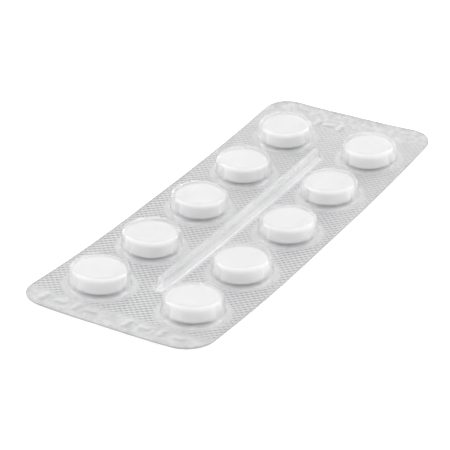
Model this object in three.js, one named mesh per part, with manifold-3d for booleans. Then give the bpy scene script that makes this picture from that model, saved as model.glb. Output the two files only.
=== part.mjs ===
// A push-through strip of ten round tablets in two rows of five.
// A clear formed film has a pocket over each tablet and a stiffening rib between the rows, and it is
// sealed to a thin aluminium lidding foil. The strip lies on the foil and is bowed a little, so its
// middle is flat and its ends and sides lift.
// Millimetres. X runs across the two rows, Y along the strip and Z up. The origin is the centre of the
// bottom, in the flat middle of the foil.
import * as THREE from "three";
import { mergeVertices } from "three/addons/utils/BufferGeometryUtils.js";
import Module from "manifold-3d";

const wasm = await Module();
wasm.setup();

// How many tablets lie in each row
const TABLETS_IN_ROW = 5;

// Tablet: a flat-faced disc with a gentle bevel round both faces
const TABLET_DIAMETER = 10.0;
const TABLET_LAND = 2.5; // the straight part of its side
const BEVEL_WIDTH = 1.1;
const BEVEL_HEIGHT = 0.5;

// Sheets, and the clearances between what lies on what
const FILM_THICKNESS = 0.25;
const FOIL_THICKNESS = 0.05;
const SEAL_GAP = 0.05; // the sealing lacquer between foil and film
const REST_GAP = 0.12; // under each tablet
const HEAD_GAP = 0.2; // over each tablet
const SIDE_GAP = 0.42; // between a centred tablet and the top of its pocket's wall
const TABLET_SLIDE = 0.22; // how far each tablet has slid from the middle of its pocket
const FIRST_SLIDE = 148; // degrees from +X towards +Y, the way the first tablet has slid
const FOOT_SINK = 0.05; // how far a hollow's foot runs into the sheet, for a clean crossing

// Pocket: outer radii of its fillets, and the draft of its wall
const POCKET_FOOT_FILLET = 0.45;
const POCKET_SHOULDER = 0.9;
const POCKET_DRAFT = 4; // degrees

// Rib between the rows, with round ends
const RIB_FOOT_WIDTH = 2.6;
const RIB_HEIGHT = 2.2; // above the film
const RIB_FOOT_FILLET = 0.3;
const RIB_SHOULDER = 0.45;
const RIB_DRAFT = 8; // degrees
const RIB_INSET = 3.65; // from the middle of the last pocket back to the end of the rib

// Flat film between the pockets' feet, and between them and the cut edge
const COLUMN_WEB = 5.1;
const ROW_WEB = 7.2;
const LEFT_MARGIN = 3.5;
const RIGHT_MARGIN = 2.3;
const NEAR_MARGIN = 6.6;
const FAR_MARGIN = 8.6;
const CORNER_RADIUS = 5.4;

// Bow: half sizes of the flat middle, and how far the edges lift
const FLAT_HALF_WIDTH = 5.0;
const FLAT_HALF_LENGTH = 10.0;
const NEAR_LIFT = 2.0;
const FAR_LIFT = 1.6;
const SIDE_LIFT = 0.45;

// Fineness of the facets
const ROUND_SEGMENTS = 24; // an even number
const FILLET_STEPS = 2;
const SHOULDER_STEPS = 3;
const CORNER_STEPS = 8;
const SHEET_CELL = 6.0;

// Heights over the flat middle
const FILM_BOTTOM = FOIL_THICKNESS + SEAL_GAP;
const FILM_TOP = FILM_BOTTOM + FILM_THICKNESS;
const TABLET_BOTTOM = FOIL_THICKNESS + REST_GAP;
const TABLET_THICKNESS = TABLET_LAND + 2 * BEVEL_HEIGHT;
const POCKET_CROWN = TABLET_BOTTOM + TABLET_THICKNESS + HEAD_GAP + FILM_THICKNESS;

// A formed hollow has a foot fillet, a drafted wall, a rounded shoulder and a flat crown. The centres
// of the two fillets lie this far apart, so that the wall is tangent to both.
function wallReach(form) {
  const draft = THREE.MathUtils.degToRad(form.draft);
  const rounds = form.fillet + form.shoulder;
  return (rounds + (form.height - rounds) * Math.sin(draft)) / Math.cos(draft);
}

const pocket = {
  height: POCKET_CROWN - FILM_TOP,
  fillet: POCKET_FOOT_FILLET,
  shoulder: POCKET_SHOULDER,
  draft: POCKET_DRAFT,
};
const innerShoulder = (POCKET_SHOULDER - FILM_THICKNESS) * Math.cos(THREE.MathUtils.degToRad(POCKET_DRAFT));
pocket.crownRadius = TABLET_DIAMETER / 2 + SIDE_GAP - innerShoulder;
pocket.footRadius = pocket.crownRadius + wallReach(pocket);

const rib = {
  height: RIB_HEIGHT,
  fillet: RIB_FOOT_FILLET,
  shoulder: RIB_SHOULDER,
  draft: RIB_DRAFT,
  footRadius: RIB_FOOT_WIDTH / 2,
};
rib.crownRadius = rib.footRadius - wallReach(rib);

// Places of the pockets, and the cut outline that their margins give
const COLUMN_PITCH = 2 * pocket.footRadius + COLUMN_WEB;
const ROW_SPACING = 2 * pocket.footRadius + ROW_WEB;
const ROW_LENGTH = (TABLETS_IN_ROW - 1) * COLUMN_PITCH;
const STRIP_WIDTH = ROW_SPACING + 2 * pocket.footRadius + LEFT_MARGIN + RIGHT_MARGIN;
const STRIP_LENGTH = ROW_LENGTH + 2 * pocket.footRadius + NEAR_MARGIN + FAR_MARGIN;
const ARRAY_X = (LEFT_MARGIN - RIGHT_MARGIN) / 2;
const ARRAY_Y = (NEAR_MARGIN - FAR_MARGIN) / 2;

// How far the strip lifts at a distance from its middle line: not at all over the flat, and then as
// the square of the distance beyond it.
function rise(distance, flat, half, lift) {
  const beyond = Math.max(0, Math.abs(distance) - flat) / (half - flat);
  return lift * beyond ** 2;
}

function liftAt(x, y) {
  const endLift = y < 0 ? NEAR_LIFT : FAR_LIFT;
  const along = rise(y, FLAT_HALF_LENGTH, STRIP_LENGTH / 2, endLift);
  return along + rise(x, FLAT_HALF_WIDTH, STRIP_WIDTH / 2, SIDE_LIFT);
}

// The bowed strip's upward normal over a point of the flat one
function normalAt(x, y) {
  const step = 0.01;
  const slopeX = (liftAt(x + step, y) - liftAt(x - step, y)) / (2 * step);
  const slopeY = (liftAt(x, y + step) - liftAt(x, y - step)) / (2 * step);
  return new THREE.Vector3(-slopeX, -slopeY, 1).normalize();
}

// Where a point of the flat strip goes when the strip bows: it keeps its height along the normal.
function bowed(x, y, z) {
  return normalAt(x, y).multiplyScalar(z).add(new THREE.Vector3(x, y, liftAt(x, y)));
}

// Bows a flat geometry with the strip.
function bow(geometry) {
  const positions = geometry.getAttribute("position");
  for (let i = 0; i < positions.count; i += 1) {
    const place = bowed(positions.getX(i), positions.getY(i), positions.getZ(i));
    positions.setXYZ(i, place.x, place.y, place.z);
  }
  return geometry;
}

// A closed geometry as a solid, with its shared corners merged and its empty facets dropped
function solidOf(geometry) {
  const bare = new THREE.BufferGeometry();
  bare.setAttribute("position", geometry.getAttribute("position"));
  bare.setIndex(geometry.getIndex());
  const merged = mergeVertices(bare, 1e-4);
  const corners = merged.getIndex().array;
  const kept = [];
  for (let i = 0; i < corners.length; i += 3) {
    const [a, b, c] = corners.slice(i, i + 3);
    if (a !== b && b !== c && c !== a) kept.push(a, b, c);
  }
  const vertProperties = Float32Array.from(merged.getAttribute("position").array);
  const triVerts = Uint32Array.from(kept);
  return new wasm.Manifold(new wasm.Mesh({ numProp: 3, vertProperties, triVerts }));
}

// A solid as a geometry
function geometryOf(solid) {
  const { vertProperties, triVerts } = solid.getMesh();
  const geometry = new THREE.BufferGeometry();
  geometry.setAttribute("position", new THREE.BufferAttribute(Float32Array.from(vertProperties), 3));
  geometry.setIndex(new THREE.BufferAttribute(Uint32Array.from(triVerts), 1));
  geometry.computeVertexNormals();
  return geometry;
}

// The flat strip's cut outline, a rectangle with round corners
function stripShape() {
  const right = STRIP_WIDTH / 2 - CORNER_RADIUS;
  const far = STRIP_LENGTH / 2 - CORNER_RADIUS;
  const quarter = Math.PI / 2;
  const shape = new THREE.Shape();
  shape.absarc(right, far, CORNER_RADIUS, 0, quarter);
  shape.absarc(-right, far, CORNER_RADIUS, quarter, 2 * quarter);
  shape.absarc(-right, -far, CORNER_RADIUS, 2 * quarter, 3 * quarter);
  shape.absarc(right, -far, CORNER_RADIUS, 3 * quarter, 4 * quarter);
  return shape;
}

// A bowed sheet of the strip's outline, in cells small enough for the bow
function sheet(bottom, thickness) {
  const spare = SHEET_CELL;
  const width = STRIP_WIDTH + spare;
  const length = STRIP_LENGTH + spare;
  const across = Math.ceil(width / SHEET_CELL);
  const along = Math.ceil(length / SHEET_CELL);
  const slab = new THREE.BoxGeometry(width, length, thickness, across, along, 1);
  bow(slab.translate(0, 0, bottom + thickness / 2));
  const depth = NEAR_LIFT + FAR_LIFT + SIDE_LIFT + 2 * spare;
  const die = new THREE.ExtrudeGeometry(stripShape(), { depth, bevelEnabled: false, curveSegments: CORNER_STEPS });
  die.translate(0, 0, bottom - spare);
  return solidOf(slab).intersect(solidOf(die));
}

// Points of an arc round a centre, in degrees
function arcPoints(radius, height, size, from, to, steps) {
  return Array.from({ length: steps + 1 }, (_, i) => {
    const angle = THREE.MathUtils.degToRad(from + ((to - from) * i) / steps);
    return new THREE.Vector2(radius + size * Math.cos(angle), height + size * Math.sin(angle));
  });
}

// Outline of a formed hollow's outer face, or of its inner face with the wall as inset. It starts at
// the axis inside the sheet, or below it for the inner face, which is cut out.
function hollowOutline(form, inset) {
  const low = inset ? FILM_BOTTOM - FILM_THICKNESS : FILM_TOP - FILM_THICKNESS / 2;
  const footHeight = FILM_TOP + form.fillet - FOOT_SINK;
  const foot = arcPoints(form.footRadius, footHeight, form.fillet + inset, 270, 180 + form.draft, FILLET_STEPS);
  const shoulderHeight = FILM_TOP + form.height - form.shoulder;
  const shoulder = arcPoints(form.crownRadius, shoulderHeight, form.shoulder - inset, form.draft, 90, SHOULDER_STEPS);
  const crown = FILM_TOP + form.height - inset;
  return [
    new THREE.Vector2(0, low),
    new THREE.Vector2(form.footRadius, low),
    ...foot,
    ...shoulder,
    new THREE.Vector2(0, crown),
  ];
}

// Stations round a hollow, each with its place along Y and its direction. A round hollow has them all at
// one place, and a long one has round ends and a row of them down each straight side.
function stationsRound(straight) {
  const half = ROUND_SEGMENTS / 2;
  const steps = Math.ceil(straight / SHEET_CELL);
  const stations = [];
  for (const [end, start] of [[1, 0], [-1, Math.PI]]) {
    const y = (end * straight) / 2;
    for (let i = 0; i <= half; i += 1) stations.push({ y, angle: start + (Math.PI * i) / half });
    for (let i = 1; i < steps; i += 1) stations.push({ y: y - (2 * y * i) / steps, angle: start + Math.PI });
  }
  return stations;
}

// A closed form whose outline of radius and height is carried round the stations
function carriedRound(outline, stations) {
  const positions = [];
  const corners = [];
  stations.forEach(({ y, angle }, i) => {
    const next = (i + 1) % stations.length;
    outline.forEach(({ x: radius, y: height }, j) => {
      positions.push(radius * Math.cos(angle), y + radius * Math.sin(angle), height);
      if (j === 0) return;
      const [a, b] = [i, next].map((station) => station * outline.length + j);
      corners.push(a - 1, b - 1, b, a - 1, b, a);
    });
  });
  const geometry = new THREE.BufferGeometry();
  geometry.setAttribute("position", new THREE.Float32BufferAttribute(positions, 3));
  geometry.setIndex(corners);
  return geometry;
}

// The outer and inner forms of one hollow, at its place
function hollow(form, x, y, straight = 0) {
  return [0, FILM_THICKNESS].map((inset) => {
    const geometry = carriedRound(hollowOutline(form, inset), stationsRound(straight));
    return solidOf(bow(geometry.translate(x, y, 0)));
  });
}

const places = [];
for (const side of [-1, 1]) {
  for (let i = 0; i < TABLETS_IN_ROW; i += 1) {
    const name = `tablet_${side < 0 ? "left" : "right"}_${i + 1}`;
    const x = ARRAY_X + (side * ROW_SPACING) / 2;
    const y = ARRAY_Y - ROW_LENGTH / 2 + i * COLUMN_PITCH;
    places.push({ name, x, y });
  }
}

// The formed film: the sheet with every hollow's outer form joined to it and its inner form cut out
function filmGeometry() {
  const hollows = places.map(({ x, y }) => hollow(pocket, x, y));
  const ribStraight = ROW_LENGTH - 2 * RIB_INSET - RIB_FOOT_WIDTH;
  hollows.push(hollow(rib, ARRAY_X, ARRAY_Y, ribStraight));
  let film = sheet(FILM_BOTTOM, FILM_THICKNESS);
  for (const [outer] of hollows) film = film.add(outer);
  for (const [, inner] of hollows) film = film.subtract(inner);
  return geometryOf(film);
}

function tabletGeometry() {
  const radius = TABLET_DIAMETER / 2;
  const corners = [
    [0, 0],
    [radius - BEVEL_WIDTH, 0],
    [radius, BEVEL_HEIGHT],
    [radius, BEVEL_HEIGHT + TABLET_LAND],
    [radius - BEVEL_WIDTH, TABLET_THICKNESS],
    [0, TABLET_THICKNESS],
  ];
  const outline = corners.map(([r, z]) => new THREE.Vector2(r, z));
  return new THREE.LatheGeometry(outline, ROUND_SEGMENTS).rotateX(Math.PI / 2);
}

const clearFilm = new THREE.MeshStandardMaterial({
  color: 0xeef2f5,
  roughness: 0.12,
  metalness: 0,
  transparent: true,
  opacity: 0.3,
});
const aluminium = new THREE.MeshStandardMaterial({ color: 0xc9cbcd, roughness: 0.35, metalness: 0.9 });
const pressedPowder = new THREE.MeshStandardMaterial({ color: 0xf4f4f2, roughness: 0.85, metalness: 0 });

const strip = new THREE.Group();

function addPiece(name, geometry, material) {
  const piece = new THREE.Mesh(geometry, material.clone());
  piece.name = name;
  strip.add(piece);
  return piece;
}

addPiece("lidding_foil", geometryOf(sheet(0, FOIL_THICKNESS)), aluminium);
addPiece("blister_film", filmGeometry(), clearFilm);

// Each tablet lies square to the foil under it, slid a little to one side, each another way.
const GOLDEN_ANGLE = Math.PI * (3 - Math.sqrt(5));
const UP = new THREE.Vector3(0, 0, 1);
places.forEach(({ name, x, y }, i) => {
  const tablet = addPiece(name, tabletGeometry(), pressedPowder);
  const slideAngle = THREE.MathUtils.degToRad(FIRST_SLIDE) + i * GOLDEN_ANGLE;
  const restX = x + TABLET_SLIDE * Math.cos(slideAngle);
  const restY = y + TABLET_SLIDE * Math.sin(slideAngle);
  tablet.position.copy(bowed(restX, restY, TABLET_BOTTOM));
  tablet.quaternion.setFromUnitVectors(UP, normalAt(restX, restY));
});

export default strip;
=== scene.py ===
"""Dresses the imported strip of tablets: the clear formed film, the lidding foil and the pressed tablets
are built again as fine surfaces and get their finishes, on a plain pale floor in soft light."""

import math

import bpy
import numpy as np
from bpy.props import FloatProperty, FloatVectorProperty, IntProperty, PointerProperty
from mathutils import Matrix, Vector


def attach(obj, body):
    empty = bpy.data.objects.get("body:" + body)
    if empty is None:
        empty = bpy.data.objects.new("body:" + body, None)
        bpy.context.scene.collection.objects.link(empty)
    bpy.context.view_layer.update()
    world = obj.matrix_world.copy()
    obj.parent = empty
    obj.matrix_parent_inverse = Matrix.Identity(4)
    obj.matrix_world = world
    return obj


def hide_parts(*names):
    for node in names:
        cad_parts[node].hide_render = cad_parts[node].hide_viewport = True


bl_info = {
    "name": "Strip of tablets",
    "version": (1, 0, 0),
    "blender": (4, 5, 0),
    "location": "3D View > Sidebar > Tablets",
    "description": "Builds the film, foil and tablets of a push-through strip, and the stage they lie on",
    "category": "Object",
}

MM = 0.001
POINT_POWER = 1.5  # makes the knurl's points narrower than the cosines they come from

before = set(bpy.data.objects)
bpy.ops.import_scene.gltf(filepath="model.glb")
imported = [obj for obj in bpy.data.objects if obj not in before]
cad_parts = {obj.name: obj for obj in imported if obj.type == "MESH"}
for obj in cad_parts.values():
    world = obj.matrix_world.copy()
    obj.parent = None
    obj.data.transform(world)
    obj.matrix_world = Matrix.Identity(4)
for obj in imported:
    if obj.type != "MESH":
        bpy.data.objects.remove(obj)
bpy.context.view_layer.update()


def length(label, description, millimetres):
    """A size as a property, with its default given in millimetres"""
    return FloatProperty(
        name=label,
        description=description,
        default=millimetres * MM,
        min=0,
        precision=5,
        unit="LENGTH",
    )


def angle(label, description, degrees):
    """An angle as a property, with its default given in degrees"""
    return FloatProperty(
        name=label, description=description, default=math.radians(degrees), subtype="ANGLE"
    )


def colour(label, description, default):
    """A linear colour as a property"""
    return FloatVectorProperty(
        name=label, description=description, default=default, size=3, min=0, max=1, subtype="COLOR"
    )


class SheetSizes(bpy.types.PropertyGroup):
    """Film, foil, and the bow of the strip"""

    corner_radius: length("Corner radius", "Round corners of the cut outline", 5.4)
    film_thickness: length("Film", "Thickness of the clear film", 0.25)
    foil_thickness: length("Foil", "Thickness of the lidding foil", 0.05)
    seal_gap: length("Seal", "Lacquer between foil and film", 0.05)
    flat_half_width: length("Flat half width", "Half width of the part that lies flat", 5.0)
    flat_half_length: length("Flat half length", "Half length of the part that lies flat", 10.0)
    near_lift: length("Near lift", "How far the near end bows up", 2.0)
    far_lift: length("Far lift", "How far the far end bows up", 1.6)
    side_lift: length("Side lift", "How far the long sides bow up", 0.45)


class HollowSizes(bpy.types.PropertyGroup):
    """Formed pockets and rib, and where they stand"""

    in_row: IntProperty(name="In a row", description="Tablets in each row", default=5, min=1)
    column_web: length("Column web", "Flat film between pockets of one row", 5.1)
    row_web: length("Row web", "Flat film between the pockets of the two rows", 7.2)
    left_margin: length("Left margin", "From the left row's pockets to the edge", 3.5)
    right_margin: length("Right margin", "From the right row's pockets to the edge", 2.3)
    near_margin: length("Near margin", "From the first pockets to the near edge", 6.6)
    far_margin: length("Far margin", "From the last pockets to the far edge", 8.6)
    head_gap: length("Head gap", "Air over each tablet", 0.2)
    side_gap: length("Side gap", "Air between a tablet and the top of the wall", 0.42)
    pocket_fillet: length("Pocket fillet", "Outer fillet at the pocket's foot", 0.45)
    pocket_shoulder: length("Pocket shoulder", "Outer radius of the pocket's shoulder", 0.9)
    pocket_draft: angle("Pocket draft", "Lean of the pocket's wall", 4)
    rib_foot_width: length("Rib width", "Width of the rib at its foot", 2.6)
    rib_height: length("Rib height", "Height of the rib over the film", 2.2)
    rib_fillet: length("Rib fillet", "Outer fillet at the rib's foot", 0.3)
    rib_shoulder: length("Rib shoulder", "Outer radius of the rib's shoulder", 0.45)
    rib_draft: angle("Rib draft", "Lean of the rib's wall", 8)
    rib_inset: length("Rib inset", "From the last pocket's middle back to the rib's end", 3.65)


class TabletSizes(bpy.types.PropertyGroup):
    """Pressed tablets"""

    diameter: length("Diameter", "Across the tablet", 10.0)
    land: length("Land", "Straight part of the side", 2.5)
    bevel_width: length("Bevel width", "Width of the bevel round each face", 1.1)
    bevel_height: length("Bevel height", "Height of the bevel", 0.5)
    edge_radius: length("Edge radius", "Softness of the pressed edges", 0.52)
    rest_gap: length("Rest gap", "Air under each tablet", 0.12)
    slide: length("Slide", "How far each tablet lies off the middle of its pocket", 0.22)
    first_slide: angle("First slide", "Way that the first tablet has slid, from +X towards +Y", 148)


class KnurlSizes(bpy.types.PropertyGroup):
    """Relief that the sealing plate pressed into the foil"""

    pitch: length("Pitch", "From point to point across the strip, with a row between", 1.2725)
    depth: length("Depth", "Height of each point", 0.045)
    ring: length("Smooth ring", "Width of the unpressed ring round each pocket", 0.8)
    end_band: length("End band", "Length of the band without knurl at each end", 5.6)


class FinishColours(bpy.types.PropertyGroup):
    """Colours of the pieces and the floor"""

    film: colour("Film", "Clear film", (0.982, 0.982, 0.983))
    cut: colour("Cut edge", "Cut edge of the film", (0.42, 0.42, 0.42))
    foil: colour("Foil", "Aluminium foil", (0.76, 0.76, 0.768))
    tablet: colour("Tablet", "Pressed powder", (0.872, 0.872, 0.873))
    floor: colour("Floor", "Plain floor", (0.86, 0.86, 0.86))


class StageSettings(bpy.types.PropertyGroup):
    """Camera, surroundings and lamps"""

    azimuth: angle("Azimuth", "Turn of the camera round the strip", 30.106)
    elevation: angle("Elevation", "Height of the camera over the horizon", 28.879)
    distance: length("Distance", "From the camera to its target", 346.68)
    target: FloatVectorProperty(
        name="Target",
        description="Point that the camera looks at",
        default=(-1.83 * MM, -3.85 * MM, 0.1 * MM),
        size=3,
        subtype="TRANSLATION",
    )
    lens: FloatProperty(name="Lens", description="Focal length in millimetres", default=142.74)
    sky: FloatProperty(name="Sky", description="Strength of the even light from all round", default=0.8)
    glow: FloatProperty(name="Glow", description="How much the floor glows where it is seen", default=0.45)
    lamps: FloatProperty(name="Lamps", description="Strength of the three soft lamps", default=1.0)


# Shape of the strip


class Hollow:
    """One formed hollow: a foot fillet, a drafted wall, a round shoulder and a flat crown."""

    def __init__(self, height, fillet, shoulder, draft):
        self.height, self.fillet, self.shoulder, self.draft = height, fillet, shoulder, draft
        rounds = fillet + shoulder
        self.reach = (rounds + (height - rounds) * math.sin(draft)) / math.cos(draft)
        self.crown = self.foot = 0.0

    def outline(self, top, inset, steps):
        """Radius and height up the outer face, or the inner face where inset is the thickness.

        Two arcs joined by a straight wall: the foot's turns from level to the lean of the wall round
        a centre outside it, the shoulder's from that lean to level round a centre inside it, and the
        crown runs level to the axis.
        """
        foot_steps, wall_steps, shoulder_steps, crown_steps = steps
        low = np.radians(270) - np.linspace(0, np.radians(90) - self.draft, foot_steps + 1)
        foot = np.stack(
            [
                self.foot + (self.fillet + inset) * np.cos(low),
                top + self.fillet + (self.fillet + inset) * np.sin(low),
            ],
            -1,
        )
        high = np.linspace(self.draft, np.radians(90), shoulder_steps + 1)
        shoulder = np.stack(
            [
                self.crown + (self.shoulder - inset) * np.cos(high),
                top + self.height - self.shoulder + (self.shoulder - inset) * np.sin(high),
            ],
            -1,
        )
        along = np.linspace(0, 1, wall_steps + 1)[1:-1, None]
        wall = foot[-1] * (1 - along) + shoulder[0] * along
        inwards = np.linspace(1, 0, crown_steps + 1)[1:, None]
        crown = shoulder[-1] * [1, 0] * inwards + shoulder[-1] * [0, 1]
        return np.concatenate([foot, wall, shoulder, crown])


class Strip:
    """Places and heights that follow from the sizes, and the bow of the sheets."""

    def __init__(self, scene):
        self.sheet, self.hollows, self.tablet = scene.sheet_sizes, scene.hollow_sizes, scene.tablet_sizes
        sheet, hollows, tablet = self.sheet, self.hollows, self.tablet
        self.film_bottom = sheet.foil_thickness + sheet.seal_gap
        self.film_top = self.film_bottom + sheet.film_thickness
        self.tablet_bottom = sheet.foil_thickness + tablet.rest_gap
        self.tablet_thickness = tablet.land + 2 * tablet.bevel_height
        crown = self.tablet_bottom + self.tablet_thickness + hollows.head_gap + sheet.film_thickness
        self.pocket = Hollow(
            crown - self.film_top, hollows.pocket_fillet, hollows.pocket_shoulder, hollows.pocket_draft
        )
        inner_shoulder = (hollows.pocket_shoulder - sheet.film_thickness) * math.cos(hollows.pocket_draft)
        self.pocket.crown = tablet.diameter / 2 + hollows.side_gap - inner_shoulder
        self.pocket.foot = self.pocket.crown + self.pocket.reach
        self.rib = Hollow(hollows.rib_height, hollows.rib_fillet, hollows.rib_shoulder, hollows.rib_draft)
        self.rib.foot = hollows.rib_foot_width / 2
        self.rib.crown = self.rib.foot - self.rib.reach
        self.pitch = 2 * self.pocket.foot + hollows.column_web
        self.row_spacing = 2 * self.pocket.foot + hollows.row_web
        self.row_length = (hollows.in_row - 1) * self.pitch
        self.width = self.row_spacing + 2 * self.pocket.foot + hollows.left_margin + hollows.right_margin
        self.length = self.row_length + 2 * self.pocket.foot + hollows.near_margin + hollows.far_margin
        to_right = hollows.left_margin - hollows.right_margin
        to_far = hollows.near_margin - hollows.far_margin
        self.middle = np.array([to_right, to_far]) / 2
        self.rib_half = self.row_length / 2 - hollows.rib_inset - self.rib.foot

    def places(self):
        """Name and middle of each pocket, row by row from the near end."""
        for side, word in ((-1, "left"), (1, "right")):
            for i in range(self.hollows.in_row):
                offset = np.array([side * self.row_spacing / 2, i * self.pitch - self.row_length / 2])
                yield f"tablet_{word}_{i + 1}", self.middle + offset

    def _rise(self, distance, flat, half, lift):
        """Lift and slope: nothing over the flat, and beyond it the lift times the squared share of
        the way from there to the edge."""
        beyond = np.maximum(0, np.abs(distance) - flat) / (half - flat)
        return lift * beyond**2, 2 * lift * beyond / (half - flat) * np.sign(distance)

    def bowed(self, points):
        """Where flat points go: up by the lift, and their height along the bowed sheet's normal."""
        x, y, z = np.moveaxis(np.asarray(points, float), -1, 0)
        sheet = self.sheet
        end_lift = np.where(y < 0, sheet.near_lift, sheet.far_lift)
        along, slope_y = self._rise(y, sheet.flat_half_length, self.length / 2, end_lift)
        across, slope_x = self._rise(x, sheet.flat_half_width, self.width / 2, sheet.side_lift)
        steep = np.sqrt(1 + slope_x**2 + slope_y**2)
        return np.stack([x - z * slope_x / steep, y - z * slope_y / steep, along + across + z / steep], -1)

    def normal(self, x, y):
        """Upward normal of the bowed sheet over a flat point."""
        foot, head = self.bowed([[x, y, 0], [x, y, MM]])
        return Vector((head - foot) / MM)

    def half_width_at(self, y):
        """Half width of the cut outline, which the corner arcs narrow towards the ends."""
        radius = self.sheet.corner_radius
        beyond = np.clip(np.abs(y) - (self.length / 2 - radius), 0, radius)
        return self.width / 2 - radius + np.sqrt(radius**2 - beyond**2)

    def from_pocket(self, x, y):
        """Distance from the middle of the nearest pocket."""
        dx = np.abs(np.abs(x - self.middle[0]) - self.row_spacing / 2)
        first = self.middle[1] - self.row_length / 2
        row = np.clip(np.round((y - first) / self.pitch), 0, self.hollows.in_row - 1)
        dy = y - (first + row * self.pitch)
        return np.hypot(dx, dy)

    def from_rib(self, x, y):
        """Distance from the middle line of the rib."""
        beyond = np.maximum(0, np.abs(y - self.middle[1]) - self.rib_half)
        return np.hypot(x - self.middle[0], beyond)


def ramp(value, low, high):
    """A smooth step from 0 at low to 1 at high."""
    t = np.clip((value - low) / (high - low), 0, 1)
    return t * t * (3 - 2 * t)


# Mesh making


def grid_triangles(rows, columns, closed):
    """Two triangles for each cell of a grid whose points run row by row, closed round the columns
    or not, that face up where columns run anticlockwise and rows run inwards."""
    here = np.arange(rows - 1)[:, None] * columns
    column = np.arange(columns if closed else columns - 1)[None]
    after = (column + 1) % columns
    a, b = here + column, here + after
    c, d = b + columns, a + columns
    return np.concatenate([np.stack(corners, -1).reshape(-1, 3) for corners in ((a, b, c), (a, c, d))])


def welded(points, triangles):
    """Which points to keep, and the triangles on them, once points at one place are one point. Points
    are at one place if they are in one cell of a fine grid, which is moved off round numbers."""
    cell, off_round = 1e-4 * MM, 0.137
    cells = np.round(points / cell + off_round).astype(np.int64)
    _, first, inverse = np.unique(cells, axis=0, return_index=True, return_inverse=True)
    triangles = inverse.reshape(-1)[triangles]
    a, b, c = triangles.T
    return first, triangles[(a != b) & (b != c) & (c != a)]


def rim(triangles, below):
    """The wall round a sheet: two triangles from each edge that only one triangle has, down to the
    same edge of the sheet below, whose points come after by that number."""
    edges = np.concatenate([triangles[:, [0, 1]], triangles[:, [1, 2]], triangles[:, [2, 0]]])
    _, index, count = np.unique(np.sort(edges, 1), axis=0, return_index=True, return_counts=True)
    a, b = edges[index[count == 1]].T
    return np.concatenate([np.stack([b, a, a + below], -1), np.stack([b, a + below, b + below], -1)])


def closed_sheet(upper, lower, triangles):
    """A sheet with a thickness: upper and lower surface have the same triangles, and a rim joins them.
    Gives its points and faces, which points were kept, and how many faces the rim has, which come
    last."""
    keep, triangles = welded(upper, triangles)
    count = len(keep)
    wall = rim(triangles, count)
    faces = np.concatenate([triangles, triangles[:, ::-1] + count, wall])
    return np.concatenate([upper[keep], lower[keep]]), faces, keep, len(wall)


def add_piece(context, name, points, triangles, material, node, masks=None):
    """A smooth mesh object from points and triangles that stands for one CAD node."""
    mesh = bpy.data.meshes.new(name)
    mesh.vertices.add(len(points))
    mesh.vertices.foreach_set("co", np.asarray(points, np.float32).ravel())
    mesh.loops.add(triangles.size)
    mesh.loops.foreach_set("vertex_index", triangles.astype(np.int32).ravel())
    mesh.polygons.add(len(triangles))
    mesh.polygons.foreach_set("loop_start", np.arange(0, triangles.size, 3, dtype=np.int32))
    mesh.update(calc_edges=True)
    mesh.shade_smooth()
    for label, values in (masks or {}).items():
        layer = mesh.attributes.new(label, "FLOAT", "POINT")
        layer.data.foreach_set("value", values.astype(np.float32))
    mesh.validate()
    mesh.materials.append(material)
    piece = bpy.data.objects.new(name, mesh)
    context.scene.collection.objects.link(piece)
    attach(piece, "root")
    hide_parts(node)
    return piece


def sharpen(piece, degrees):
    """Edges that turn by more than the angle stay crisp."""
    piece.data.set_sharp_from_angle(angle=math.radians(degrees))


# Finishes and the shader maths they use


class Wire:
    """A socket in a node tree. Arithmetic on it adds Math nodes."""

    def __init__(self, finish, socket):
        self.finish, self.socket = finish, socket

    def _with(self, operation, *values):
        """The result of a Math node"""
        return self.finish.node("Math", {"operation": operation}, dict(enumerate(values)))

    def __add__(self, other):
        return self._with("ADD", self, other)

    def __sub__(self, other):
        return self._with("SUBTRACT", self, other)

    def __rsub__(self, other):
        return self._with("SUBTRACT", other, self)

    def __mul__(self, other):
        return self._with("MULTIPLY", self, other)

    def __pow__(self, other):
        return self._with("POWER", self, other)

    def clipped(self):
        """Held between 0 and 1"""
        return self._with("MINIMUM", self._with("MAXIMUM", self, 0.0), 1.0)

    def rising(self, low, gain):
        """0 up to a low value, and from there on rising by the gain, up to 1"""
        return ((self - low) * gain).clipped()

    def between(self, low, high):
        """From low to high as this goes from 0 to 1"""
        return self * (high - low) + low

    def cosine(self):
        """Cosine of an angle in radians"""
        return self._with("COSINE", self)

    def beside(self, name):
        """Another output of the same node"""
        return Wire(self.finish, self.socket.node.outputs[name])


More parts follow.
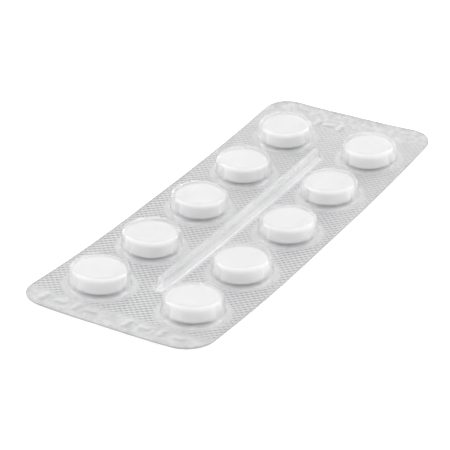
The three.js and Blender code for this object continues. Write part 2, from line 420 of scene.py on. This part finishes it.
class Finish:
    """A material and its node tree."""

    def __init__(self, name):
        self.material = bpy.data.materials.new(name)
        self.material.use_nodes = True
        self.tree = self.material.node_tree
        self.tree.nodes.clear()

    def node(self, kind, settings=None, inputs=None, output=0):
        """Adds a node: its settings first, then values or wires for its sockets. Returns one of its
        outputs as a wire, by name or by number among those in use."""
        made = self.tree.nodes.new("ShaderNode" + kind)
        for key, value in (settings or {}).items():
            setattr(made, key, value)
        for key, value in (inputs or {}).items():
            socket = made.inputs[key]
            if isinstance(value, Wire):
                self.tree.links.new(value.socket, socket)
            else:
                socket.default_value = value
        if not made.outputs:
            return None
        socket = made.outputs[output] if isinstance(output, str) else _enabled(made)[output]
        return Wire(self, socket)

    def place(self):
        """The point on the piece, in metres"""
        return self.node("TexCoord", output="Object")

    def split(self, vector):
        """The three numbers of a vector"""
        parted = self.node("SeparateXYZ", inputs={"Vector": vector})
        return [parted.beside(axis) for axis in "XYZ"]

    def mask(self, label):
        """A number kept with the points of the mesh"""
        return self.node("Attribute", {"attribute_name": label}, output="Fac")

    def noise(self, cells_per_mm, detail=2.0, roughness=0.5, vector=None):
        """Noise from 0 to 1, with cells of a size on the piece"""
        inputs = {
            "Vector": vector or self.place(),
            "Scale": cells_per_mm / MM,
            "Detail": detail,
            "Roughness": roughness,
        }
        return self.node("TexNoise", inputs=inputs, output="Fac")

    def stretched(self, scale):
        """The point on the piece, with each axis scaled"""
        return self.node("Mapping", inputs={"Vector": self.place(), "Scale": scale})

    def blend(self, factor, first, second):
        """A colour between two, the first at 0 and the second at 1. The node has a pair of sockets
        for each kind of value, and its pair of colours is the seventh and eighth of all."""
        inputs = {0: factor, 6: _shade(first), 7: _shade(second)}
        return self.node("Mix", {"data_type": "RGBA"}, inputs)

    def bump(self, height, strength, distance, normal=None):
        """A normal that leans with the height; the distance is the height of a full step in metres"""
        inputs = {"Height": height, "Strength": strength, "Distance": distance}
        if normal:
            inputs["Normal"] = normal
        return self.node("Bump", inputs=inputs)

    def surface(self, shader):
        """Ends the tree with this shader."""
        self.node("OutputMaterial", inputs={"Surface": shader})
        return self.material


def _enabled(node):
    """The outputs that the node's settings leave in use"""
    return [socket for socket in node.outputs if socket.enabled]


def _shade(value):
    """A wire as it is, or a colour with its alpha"""
    return value if isinstance(value, Wire) else (*value, 1.0)


def times(rgb, factor):
    """A colour made lighter or darker"""
    return tuple(min(1.0, channel * factor) for channel in rgb)


def knurl_waves(finish, pitch):
    """Product of two cosines, which has its peaks in rows with every other row moved by half a pitch"""
    x, y, _ = finish.split(finish.place())
    turn = 2 * math.pi / pitch
    return (x * turn).cosine() * (y * turn).cosine()


def knurl_points(finish, pitch):
    """Oblong points, 1 at their middles: the product of two waves that cross at right angles on the
    strip's diagonals, one from 0 to 1 from row to row, and one from a half to 1 along each row"""
    x, y, _ = finish.split(finish.place())
    turn = 2 * math.pi / pitch
    across = ((x - y) * turn).cosine() * 0.5 + 0.5
    along = ((x + y) * turn).cosine() * 0.5 + 0.5
    return across * along.between(0.5, 1.0)


def film_finish(colours, knurl):
    """Clear rigid film: glossy, a little hazy and wavy from forming, with the seal's relief just
    showing. Lamps shine straight through it, and so does a share of what is seen in it, so that the
    thin walls bend the view of the tablets only a little."""
    straight_share = 0.38
    finish = Finish("clear_film")
    waves = finish.noise(0.5, detail=2.0)
    relief = (knurl_waves(finish, knurl.pitch).clipped() ** POINT_POWER) * finish.mask("knurl")
    wavy = finish.bump(waves, strength=0.5, distance=0.12 * MM)
    pressed = finish.bump(relief, strength=0.5, distance=0.02 * MM, normal=wavy)
    haze = finish.noise(1.5, detail=3.0).between(0.07, 0.13)
    glass = finish.node(
        "BsdfPrincipled",
        inputs={
            "Base Color": (*colours.film, 1),
            "Roughness": haze,
            "IOR": 1.28,
            "Transmission Weight": 0.86,
            "Normal": pressed,
        },
    )
    clear = finish.node("BsdfTransparent", inputs={"Color": (*times(colours.film, 0.99), 1)})
    shadow = finish.node("LightPath", output="Is Shadow Ray")
    passes = (shadow + shadow.beside("Is Diffuse Ray") + straight_share).clipped()
    return finish.surface(finish.node("MixShader", inputs={0: passes, 1: glass, 2: clear}))


def cut_edge_finish(colours):
    """The film's punched edge, which scatters light: finely scored along the cut"""
    finish = Finish("punched_edge")
    score = finish.noise(2.0, detail=3.0, vector=finish.stretched((1.0, 1.0, 8.0)))
    edge = finish.node(
        "BsdfPrincipled",
        inputs={
            "Base Color": finish.blend(score, times(colours.cut, 0.85), times(colours.cut, 1.15)),
            "Roughness": score.between(0.4, 0.6),
            "Normal": finish.bump(score, strength=0.3, distance=0.02 * MM),
        },
    )
    return finish.surface(edge)


def foil_finish(colours, knurl):
    """Hard aluminium foil: satin, with fine rolling lines, soft cockling and duller patches. Its
    colour also holds painted light: a painted sheen round the pockets and the rib, painted glints
    between the knurl's points, painted shade on the points, and a painted lit side and a painted
    shaded side on each pressed bar of the end bands."""
    # Shares of the foil's colour: dull and shiny are random patches; the rest is painted light: a painted
    # sheen round the pockets and the rib, painted glints between the knurl's points, painted shade on the
    # points, and painted shade and painted light on the two sides of the end bars
    shares = (0.82, 1.15, 1.22, 1.27, 0.15, 0.66, 1.25)
    dull, shiny, smooth, painted_glint_field, point, painted_shade_side, painted_light_side = (
        times(colours.foil, share) for share in shares
    )
    finish = Finish("aluminium_foil")
    points = knurl_points(finish, knurl.pitch) * finish.mask("knurl")
    painted_bar_sides = finish.mask("painted_bar_sides")
    rolling = finish.noise(1.0, detail=3.0, vector=finish.stretched((14.0, 0.25, 1.0)))
    cockle = finish.noise(0.3, detail=1.0)
    patches = finish.noise(0.8, detail=3.0).rising(low=0.35, gain=3.3)
    shade = finish.blend(patches, dull, shiny)
    # Painted sheen: the colour is made lighter in the smooth ring round the pockets and beside the rib
    shade = finish.blend(finish.mask("ring"), shade, smooth)
    # Painted glints: the colour is made lighter where the knurl pressed, between its points
    shade = finish.blend(finish.mask("knurl"), shade, painted_glint_field)
    # Painted shade: the knurl's points are made much darker
    shade = finish.blend(points, shade, point)
    # Painted shade on one side of each end bar, and painted light on the other
    shade = finish.blend((0 - painted_bar_sides).clipped(), shade, painted_shade_side)
    shade = finish.blend(painted_bar_sides.clipped(), shade, painted_light_side)
    roughness = rolling.between(0.38, 0.46)
    grain = finish.bump(rolling, strength=0.1, distance=0.004 * MM)
    cockled = finish.bump(cockle, strength=0.6, distance=0.14 * MM, normal=grain)
    pressed = finish.bump(points, strength=0.8, distance=0.1 * MM, normal=cockled)
    metal = finish.node(
        "BsdfPrincipled",
        inputs={"Base Color": shade, "Metallic": 1.0, "Roughness": roughness, "Normal": pressed},
    )
    return finish.surface(metal)


def tablet_finish(colours):
    """Pressed white powder: matt, with a fine grain, faint mottling and a few tiny dark specks"""
    dim, pale, speck = (times(colours.tablet, share) for share in (0.97, 1.02, 0.8))
    finish = Finish("pressed_powder")
    mottle = finish.noise(0.5, detail=4.0)
    grain = finish.noise(6.0, detail=3.0, roughness=0.65)
    base = finish.blend(mottle.rising(low=0.3, gain=2.5), dim, pale)
    speckled = finish.blend(grain.rising(low=0.66, gain=6.0).between(0, 0.12), base, speck)
    powder = finish.node(
        "BsdfPrincipled",
        inputs={
            "Base Color": speckled,
            "Roughness": mottle.between(0.72, 0.82),
            "IOR": 1.45,
            "Normal": finish.bump(grain, strength=0.35, distance=0.03 * MM),
        },
    )
    return finish.surface(powder)


def floor_finish(colours, glow):
    """Plain pale floor that keeps the strip's shadow. What the camera, metal and film see of it also
    glows a little, so that it reads as white."""
    finish = Finish("pale_floor")
    fine = finish.noise(0.02, detail=2.0)
    tone = finish.blend(fine, times(colours.floor, 0.99), times(colours.floor, 1.01))
    matt = finish.node("BsdfDiffuse", inputs={"Color": tone})
    seen = seen_directly(finish)
    light = finish.node("Emission", inputs={"Color": (1, 1, 1, 1), "Strength": seen * glow})
    return finish.surface(finish.node("AddShader", inputs={0: matt, 1: light}))


def seen_directly(finish):
    """1 for what the camera, a glossy surface or clear film sees, and 0 for light on its way"""
    path = finish.node("LightPath", output="Is Camera Ray")
    return (path + path.beside("Is Glossy Ray") + path.beside("Is Transmission Ray")).clipped()


# Operators and the surfaces they make


class TABLETS_OT_foil(bpy.types.Operator):
    """Lidding foil with the knurl of the sealing plate. It is a grid of rows along the strip, closer
    towards its ends, and rises by the product of a cosine across and one along the strip, where that
    is over 0, raised to a power, or by the height of a pressed bar"""

    bl_idname = "tablets.foil"
    bl_label = "Add the foil"

    cells_per_point = 4
    corner_rows = 22
    first_row = 4  # degrees into the corner's arc
    lean = 0.3 * MM  # shift from a bar's slope to the side that it faces, for the bar's painted light and painted shade
    pocket_painted_sheen = 0.55  # share of the rib's painted sheen that is painted round each pocket

    def execute(self, context):
        strip, knurl = Strip(context.scene), context.scene.knurl_sizes
        cell = strip.width / round(strip.width / knurl.pitch) / self.cells_per_point
        columns = round(strip.width / cell)
        radius = strip.sheet.corner_radius
        straight = strip.length / 2 - radius
        rows = np.arange(math.ceil(-straight / cell), math.floor(straight / cell) + 1) * cell
        arc = straight + radius * np.sin(np.radians(np.linspace(self.first_row, 90, self.corner_rows)))
        y = np.concatenate([-arc[::-1], rows, arc])
        share = np.linspace(-1, 1, columns + 1)
        x = share[None] * strip.half_width_at(y)[:, None]
        y = np.broadcast_to(y[:, None], x.shape)
        mask = knurl_mask(strip, knurl, x, y)
        turn = 2 * math.pi / (self.cells_per_point * cell)
        points = np.maximum(0, np.cos(turn * x) * np.cos(turn * y)) ** POINT_POWER * mask
        relief = np.maximum(points, end_marks(strip, x, y)) * knurl.depth
        low = np.stack([x, y, relief], -1)
        high = low + [0, 0, strip.sheet.foil_thickness]
        triangles = grid_triangles(*x.shape, closed=False)
        points, faces, keep, _ = closed_sheet(
            strip.bowed(high).reshape(-1, 3), strip.bowed(low).reshape(-1, 3), triangles
        )
        # Each bar shifted both ways along a diagonal: the difference gives the side of it that is painted
        # lit and the side that is painted shaded
        towards, away = (end_marks(strip, x + lean, y - lean) for lean in (self.lean, -self.lean))
        by_pocket, by_rib = unpressed(strip, knurl, x, y)
        # How much painted sheen the colour gets round the pockets and beside the rib
        shine = np.maximum(by_pocket * self.pocket_painted_sheen, by_rib)
        # Masks for the colour: the knurl, the painted sheen, and the painted light and shade of the bars'
        # sides
        masks = {"knurl": mask, "ring": shine, "painted_bar_sides": towards - away}
        masks = {label: np.tile(values.ravel()[keep], 2) for label, values in masks.items()}
        material = foil_finish(context.scene.finish_colours, knurl)
        foil = add_piece(context, "foil", points, faces, material, "lidding_foil", masks)
        sharpen(foil, degrees=50)
        return {"FINISHED"}


def knurl_mask(strip, knurl, x, y):
    """1 where the sealing plate pressed, and 0 round the pockets and rib and in the end bands. The
    plate pressed less and less from the middle to the far end."""
    fade = 0.7 * MM
    lost_at_far_end = 0.45
    pressed = 1 - lost_at_far_end * ramp(y, 0, strip.length / 2)
    end = strip.length / 2 - knurl.end_band
    by_pocket, by_rib = unpressed(strip, knurl, x, y)
    return pressed * (1 - by_pocket) * (1 - by_rib) * ramp(-np.abs(y), -end - fade, -end + fade)


def unpressed(strip, knurl, x, y):
    """1 in the smooth ring round each pocket and 0 away from it, and the same for the rib"""
    fade = 0.35 * MM
    ring = strip.pocket.foot + knurl.ring
    off_pocket = ramp(strip.from_pocket(x, y), ring - fade, ring + fade)
    off_rib = ramp(strip.from_rib(x, y), strip.rib.foot, strip.rib.foot + 2 * fade)
    return 1 - off_pocket, 1 - off_rib


def end_marks(strip, x, y):
    """Plain pressed bars in the end bands, upright and level by turns: a near row of eight and a far
    row of three. They are 1 inside and fall to 0 with the distance from their edge."""
    height = np.zeros_like(x)
    upright, level = (0.25 * MM, 1.0 * MM), (0.8 * MM, 0.25 * MM)  # half width and half height
    slope_from, slope_to = 0.05 * MM, 0.55 * MM
    near_row, near_bars = -44.8 * MM, np.array([-15.5, -12, -8.6, -5.6, 2.2, 5.6, 9.2, 12.6]) * MM
    far_row, far_bars = 44.6 * MM, np.array([-6.8, -4.2, -1.4]) * MM
    from_x, from_y = x - strip.middle[0], y - strip.middle[1]
    for row, bars in ((near_row, near_bars), (far_row, far_bars)):
        for i, bar in enumerate(bars):
            half_wide, half_high = level if i % 2 else upright
            dx = np.maximum(0, np.abs(from_x - bar) - half_wide)
            dy = np.maximum(0, np.abs(from_y - row) - half_high)
            height = np.maximum(height, 1 - ramp(np.hypot(dx, dy), slope_from, slope_to))
    return height


def tile_boundary(centre, angles, box, corners, radius):
    """Boundary of a tile round a centre: where the ray at each angle meets the box from its low to its
    high corner, or the arc that rounds one of its corners."""
    tiny = 1e-12
    low, high = box
    direction = np.stack([np.cos(angles), np.sin(angles)], -1)
    with np.errstate(divide="ignore"):
        reach = np.where(direction > 0, (high - centre) / direction, (low - centre) / direction)
    reach = np.where(np.abs(direction) < tiny, np.inf, reach).min(-1)
    for corner in corners:
        arc = corner * radius
        middle = np.where(corner > 0, high, low) - arc - centre
        along = direction @ middle
        inside = along**2 - middle @ middle + radius**2
        arc_reach = along + np.sqrt(np.maximum(inside, 0))
        hit = direction * arc_reach[:, None] - middle
        on_arc = (inside > 0) & (hit * corner >= -tiny).all(-1)
        reach = np.where(on_arc, np.minimum(reach, arc_reach), reach)
    return direction * reach[:, None]


def tile_angles(count, corners):
    """Even angles round a tile, with the nearest one moved to each corner"""
    angles = np.arange(count) * 2 * math.pi / count
    for x, y in corners:
        corner = math.atan2(y, x) % (2 * math.pi)
        angles[np.argmin(np.abs(angles - corner))] = corner
    return angles


def formed_tile(boundary, middle, core_half, outline, web_rings):
    """A hollow and the flat web round it, out to its tile's boundary.

    Each boundary point is joined to the nearest point of the hollow's core, which is its middle or a
    line along Y. Rings step along that line from the boundary to the foot, closer as they near it,
    and then follow the outline's radius and height up to the core.
    """
    closing = 1.5
    core = np.stack([np.zeros(len(boundary)), np.clip(boundary[:, 1], -core_half, core_half)], -1)
    away = boundary - core
    reach = np.hypot(*away.T)
    direction = away / reach[:, None]
    foot = outline[0, 0]
    share = (np.linspace(1, 0, web_rings + 1)[:-1] ** closing)[:, None]
    radius = np.concatenate([foot + (reach - foot) * share, np.repeat(outline[:, :1], len(boundary), 1)])
    height = np.concatenate([np.full(web_rings, outline[0, 1]), outline[:, 1]])
    plan = middle + core + direction * radius[..., None]
    return np.concatenate([plan, np.broadcast_to(height[:, None, None], (*radius.shape, 1))], -1)


class TABLETS_OT_film(bpy.types.Operator):
    """Clear formed film: pockets, rib and flat web in one sheet"""

    bl_idname = "tablets.film"
    bl_label = "Add the film"

    around = 96
    same_point = 1e-6 * MM
    web_rings = 7
    band_steps = 12
    band_to_pocket = 1.0 * MM
    pocket_steps = (5, 3, 8, 6)  # up the foot, wall and shoulder, and in over the crown
    rib_steps = (4, 3, 5, 2)

    def tiles(self, strip):
        """Boundary, middle, half core, hollow and steps of each tile: one for each pocket, and a band
        down the middle for the rib, whose boundary takes the pocket tiles' points, so that they meet."""
        radius = strip.sheet.corner_radius
        half_band = strip.row_spacing / 2 - strip.pocket.foot - self.band_to_pocket
        edge_high = np.array([strip.width, strip.length]) / 2
        edge_low = -edge_high
        shared = []
        for _, middle in strip.places():
            side = 1 if middle[0] > strip.middle[0] else -1
            low, high = middle - strip.pitch / 2, middle + strip.pitch / 2
            corners = []
            inner = strip.middle[0] + side * half_band
            low[0], high[0] = (inner, edge_high[0]) if side > 0 else (edge_low[0], inner)
            if middle[1] - strip.pitch < edge_low[1] + strip.pocket.foot:
                low[1] = edge_low[1]
                corners.append(np.array([side, -1]))
            if middle[1] + strip.pitch > edge_high[1] - strip.pocket.foot:
                high[1] = edge_high[1]
                corners.append(np.array([side, 1]))
            (left, near), (right, far) = low - middle, high - middle
            angles = tile_angles(self.around, [(left, near), (left, far), (right, near), (right, far)])
            boundary = tile_boundary(middle, angles, (low, high), corners, radius)
            yield boundary, middle, 0.0, strip.pocket, self.pocket_steps
            if side > 0:
                on_band = np.isclose(boundary[:, 0] + middle[0], inner, atol=self.same_point)
                shared.append(boundary[on_band, 1] + middle[1])
        along = np.sort(np.concatenate(shared)) - strip.middle[1]
        along = along[np.diff(along, prepend=-np.inf) > self.same_point]
        across = np.linspace(-half_band, half_band, self.band_steps + 1)[1:-1]
        near, far = edge_low[1] - strip.middle[1], edge_high[1] - strip.middle[1]
        boundary = np.concatenate(
            [
                np.stack([np.full(len(along), half_band), along], -1),
                np.stack([across[::-1], np.full(len(across), far)], -1),
                np.stack([np.full(len(along), -half_band), along[::-1]], -1),
                np.stack([across, np.full(len(across), near)], -1),
            ]
        )
        yield boundary, strip.middle, strip.rib_half, strip.rib, self.rib_steps

    def execute(self, context):
        strip, knurl = Strip(context.scene), context.scene.knurl_sizes
        upper, lower, triangles, count = [], [], [], 0
        for boundary, middle, core_half, hollow, steps in self.tiles(strip):
            for surface, inset in ((upper, 0), (lower, strip.sheet.film_thickness)):
                outline = hollow.outline(strip.film_top, inset, steps)
                tile = formed_tile(boundary, middle, core_half, outline, self.web_rings)
                surface.append(tile.reshape(-1, 3))
            triangles.append(grid_triangles(*tile.shape[:2], closed=True) + count)
            count += len(upper[-1])
        upper, lower = np.concatenate(upper), np.concatenate(lower)
        points, faces, keep, wall = closed_sheet(upper, lower, np.concatenate(triangles))
        mask = knurl_mask(strip, knurl, upper[keep, 0], upper[keep, 1])
        material = film_finish(context.scene.finish_colours, knurl)
        film = add_piece(
            context,
            "film",
            strip.bowed(points),
            faces,
            material,
            "blister_film",
            {"knurl": np.tile(mask, 2)},
        )
        film.data.materials.append(cut_edge_finish(context.scene.finish_colours))
        kinds = np.zeros(len(faces), np.int32)
        kinds[-wall:] = 1
        film.data.polygons.foreach_set("material_index", kinds)
        sharpen(film, degrees=50)
        return {"FINISHED"}


def softened(corners, radius, steps):
    """An outline with each inner corner replaced by a curve that leaves and joins its sides at the
    radius from the corner: a blend of the two end points and the corner by the squares of the share."""
    t = np.linspace(0, 1, steps + 1)[:, None]
    parts = [corners[:1]]
    for before, corner, after in zip(corners, corners[1:], corners[2:]):
        start = corner + (before - corner) / np.hypot(*(before - corner)) * radius
        end = corner + (after - corner) / np.hypot(*(after - corner)) * radius
        parts.append(start * (1 - t) ** 2 + corner * 2 * t * (1 - t) + end * t**2)
    return np.concatenate([*parts, corners[-1:]])


class TABLETS_OT_tablets(bpy.types.Operator):
    """Pressed tablets, one in each pocket"""

    bl_idname = "tablets.tablets"
    bl_label = "Add the tablets"

    around = 96
    face_rings = 5
    edge_steps = 4

    def outline(self, strip):
        """Radius and height from the top's middle down to the bottom's middle."""
        sizes = strip.tablet
        radius, thick = sizes.diameter / 2, strip.tablet_thickness
        half = np.array(
            [
                [0, thick],
                [radius - sizes.bevel_width, thick],
                [radius, thick - sizes.bevel_height],
                [radius, sizes.bevel_height],
                [radius - sizes.bevel_width, 0],
                [0, 0],
            ]
        )
        soft = softened(half, sizes.edge_radius, self.edge_steps)
        inwards = np.linspace(0, 1, self.face_rings + 1)[1:, None]
        top = soft[1] * inwards + soft[0] * (1 - inwards)
        bottom = soft[-1] * inwards + soft[-2] * (1 - inwards)
        return np.concatenate([soft[:1], top[:-1], soft[1:-1], bottom])

    def execute(self, context):
        strip = Strip(context.scene)
        outline = self.outline(strip)
        angles = np.arange(self.around) * 2 * math.pi / self.around
        ring = np.stack([np.cos(angles), np.sin(angles)], -1)
        body = np.concatenate(
            [
                outline[:, None, :1] * ring,
                np.broadcast_to(outline[:, None, 1:], (len(outline), self.around, 1)),
            ],
            -1,
        )
        triangles = grid_triangles(*body.shape[:2], closed=True)[:, ::-1]
        keep, triangles = welded(body.reshape(-1, 3), triangles)
        body = body.reshape(-1, 3)[keep]
        golden = math.pi * (3 - math.sqrt(5))
        material = tablet_finish(context.scene.finish_colours)
        for i, (name, middle) in enumerate(strip.places()):
            way = strip.tablet.first_slide + i * golden
            rest = middle + strip.tablet.slide * np.array([math.cos(way), math.sin(way)])
            up = strip.normal(*rest)
            turn = np.array(Vector((0, 0, 1)).rotation_difference(up).to_matrix())
            place = strip.bowed([*rest, strip.tablet_bottom])
            piece = add_piece(
                context,
                name.replace("tablet", "pill"),
                body @ turn.T + place,
                triangles,
                material,
                name,
            )
            sharpen(piece, degrees=80)
        return {"FINISHED"}


class TABLETS_OT_stage(bpy.types.Operator):
    """Plain pale floor, soft lamps, white surroundings and the camera"""

    bl_idname = "tablets.stage"
    bl_label = "Set the stage"

    # Turn from the camera and rise over the floor in degrees, and power in watts
    lamps = {"lamp_left": (-92, 26, 2.6), "lamp_right": (95, 24, 2.7), "lamp_top": (180, 80, 0.65)}
    lamp_side = 0.8
    lamp_distance = 0.8
    floor_radius = 1.5
    floor_rings = 6
    floor_sides = 64
    floor_drop = 0.02 * MM
    sensor_width = 36  # millimetres
    sees_from, sees_to = 0.01, 10
    bends = 24

    def execute(self, context):
        settings = context.scene.stage_settings
        self.floor(context, settings)
        self.sky(context, settings)
        for name, (turn, rise, power) in self.lamps.items():
            away = way_out(settings.azimuth + math.radians(turn), math.radians(rise))
            self.lamp(context, name, away, power * settings.lamps)
        self.camera(context, settings)
        self.light_paths(context.scene.cycles)
        context.scene.view_settings.view_transform = "Standard"
        return {"FINISHED"}

    def floor(self, context, settings):
        """A round level sheet just under the strip: rings of even radius, by angle"""
        radius = np.linspace(0, self.floor_radius, self.floor_rings + 1)[:, None]
        angles = np.linspace(0, 2 * math.pi, self.floor_sides, endpoint=False)[None]
        points = np.stack([radius * np.cos(angles), radius * np.sin(angles), 0 * radius * angles], -1)
        points -= [0, 0, self.floor_drop]
        triangles = grid_triangles(*points.shape[:2], closed=True)[:, ::-1]
        keep, triangles = welded(points.reshape(-1, 3), triangles)
        mesh = bpy.data.meshes.new("floor")
        mesh.from_pydata(points.reshape(-1, 3)[keep].tolist(), [], triangles.tolist())
        mesh.materials.append(floor_finish(context.scene.finish_colours, settings.glow))
        floor = bpy.data.objects.new("floor", mesh)
        context.scene.collection.objects.link(floor)

    def sky(self, context, settings):
        """White where it is seen, and an even grey where it only lights"""
        world = bpy.data.worlds.new("white_surroundings")
        context.scene.world = world
        world.use_nodes = True
        tree = world.node_tree
        tree.nodes.clear()
        path = tree.nodes.new("ShaderNodeLightPath")
        total = path.outputs["Is Camera Ray"]
        for name in ("Is Glossy Ray", "Is Transmission Ray"):
            larger = tree.nodes.new("ShaderNodeMath")
            larger.operation = "MAXIMUM"
            tree.links.new(total, larger.inputs[0])
            tree.links.new(path.outputs[name], larger.inputs[1])
            total = larger.outputs[0]
        strength = tree.nodes.new("ShaderNodeMapRange")
        strength.inputs["To Min"].default_value = settings.sky
        strength.inputs["To Max"].default_value = 1.0
        tree.links.new(total, strength.inputs["Value"])
        light = tree.nodes.new("ShaderNodeBackground")
        light.inputs["Color"].default_value = (1, 1, 1, 1)
        tree.links.new(strength.outputs["Result"], light.inputs["Strength"])
        output = tree.nodes.new("ShaderNodeOutputWorld")
        tree.links.new(light.outputs["Background"], output.inputs["Surface"])

    def light_paths(self, cycles):
        """Enough bends for light that runs along inside the film's walls"""
        cycles.max_bounces = cycles.transmission_bounces = cycles.glossy_bounces = self.bends
        cycles.transparent_max_bounces = self.bends

    def lamp(self, context, name, away, power):
        """A square soft lamp that looks at the strip"""
        light = bpy.data.lights.new(name, "AREA")
        light.shape, light.size, light.energy = "SQUARE", self.lamp_side, power
        lamp = bpy.data.objects.new(name, light)
        lamp.location = away * self.lamp_distance
        lamp.rotation_euler = (-away).to_track_quat("-Z", "Y").to_euler()
        context.scene.collection.objects.link(lamp)

    def camera(self, context, settings):
        """The camera stands back from its target by azimuth and elevation."""
        camera = bpy.data.objects.new("camera", bpy.data.cameras.new("camera"))
        back = way_out(settings.azimuth, settings.elevation)
        camera.location = Vector(settings.target) + back * settings.distance
        camera.rotation_euler = (-back).to_track_quat("-Z", "Y").to_euler()
        camera.data.sensor_width = self.sensor_width
        camera.data.lens = settings.lens
        camera.data.clip_start, camera.data.clip_end = self.sees_from, self.sees_to
        context.scene.collection.objects.link(camera)
        context.scene.camera = camera


def way_out(turn, rise):
    """The way out from the strip that is turned from -Y towards +X and raised from level"""
    return Vector((math.sin(turn) * math.cos(rise), -math.cos(turn) * math.cos(rise), math.sin(rise)))


class TABLETS_PT_panel(bpy.types.Panel):
    """Buttons and sizes in the sidebar"""

    bl_idname = "TABLETS_PT_panel"
    bl_label = "Strip of tablets"
    bl_space_type = "VIEW_3D"
    bl_region_type = "UI"
    bl_category = "Tablets"

    def draw(self, context):
        for operator in OPERATORS:
            self.layout.operator(operator.bl_idname)
        for holder in GROUPS:
            group = getattr(context.scene, holder)
            box = self.layout.box()
            box.label(text=holder.replace("_", " "))
            for name in group.__annotations__:
                box.prop(group, name)


GROUPS = {
    "sheet_sizes": SheetSizes,
    "hollow_sizes": HollowSizes,
    "tablet_sizes": TabletSizes,
    "knurl_sizes": KnurlSizes,
    "finish_colours": FinishColours,
    "stage_settings": StageSettings,
}
OPERATORS = (TABLETS_OT_foil, TABLETS_OT_film, TABLETS_OT_tablets, TABLETS_OT_stage)
CLASSES = (*GROUPS.values(), *OPERATORS, TABLETS_PT_panel)


def register():
    for cls in CLASSES:
        bpy.utils.register_class(cls)
    for name, group in GROUPS.items():
        setattr(bpy.types.Scene, name, PointerProperty(type=group))


def unregister():
    for name in GROUPS:
        delattr(bpy.types.Scene, name)
    for cls in reversed(CLASSES):
        bpy.utils.unregister_class(cls)


def main():
    register()
    bpy.ops.tablets.foil()
    bpy.ops.tablets.film()
    bpy.ops.tablets.tablets()
    bpy.ops.tablets.stage()


if __name__ == "__main__":
    main()
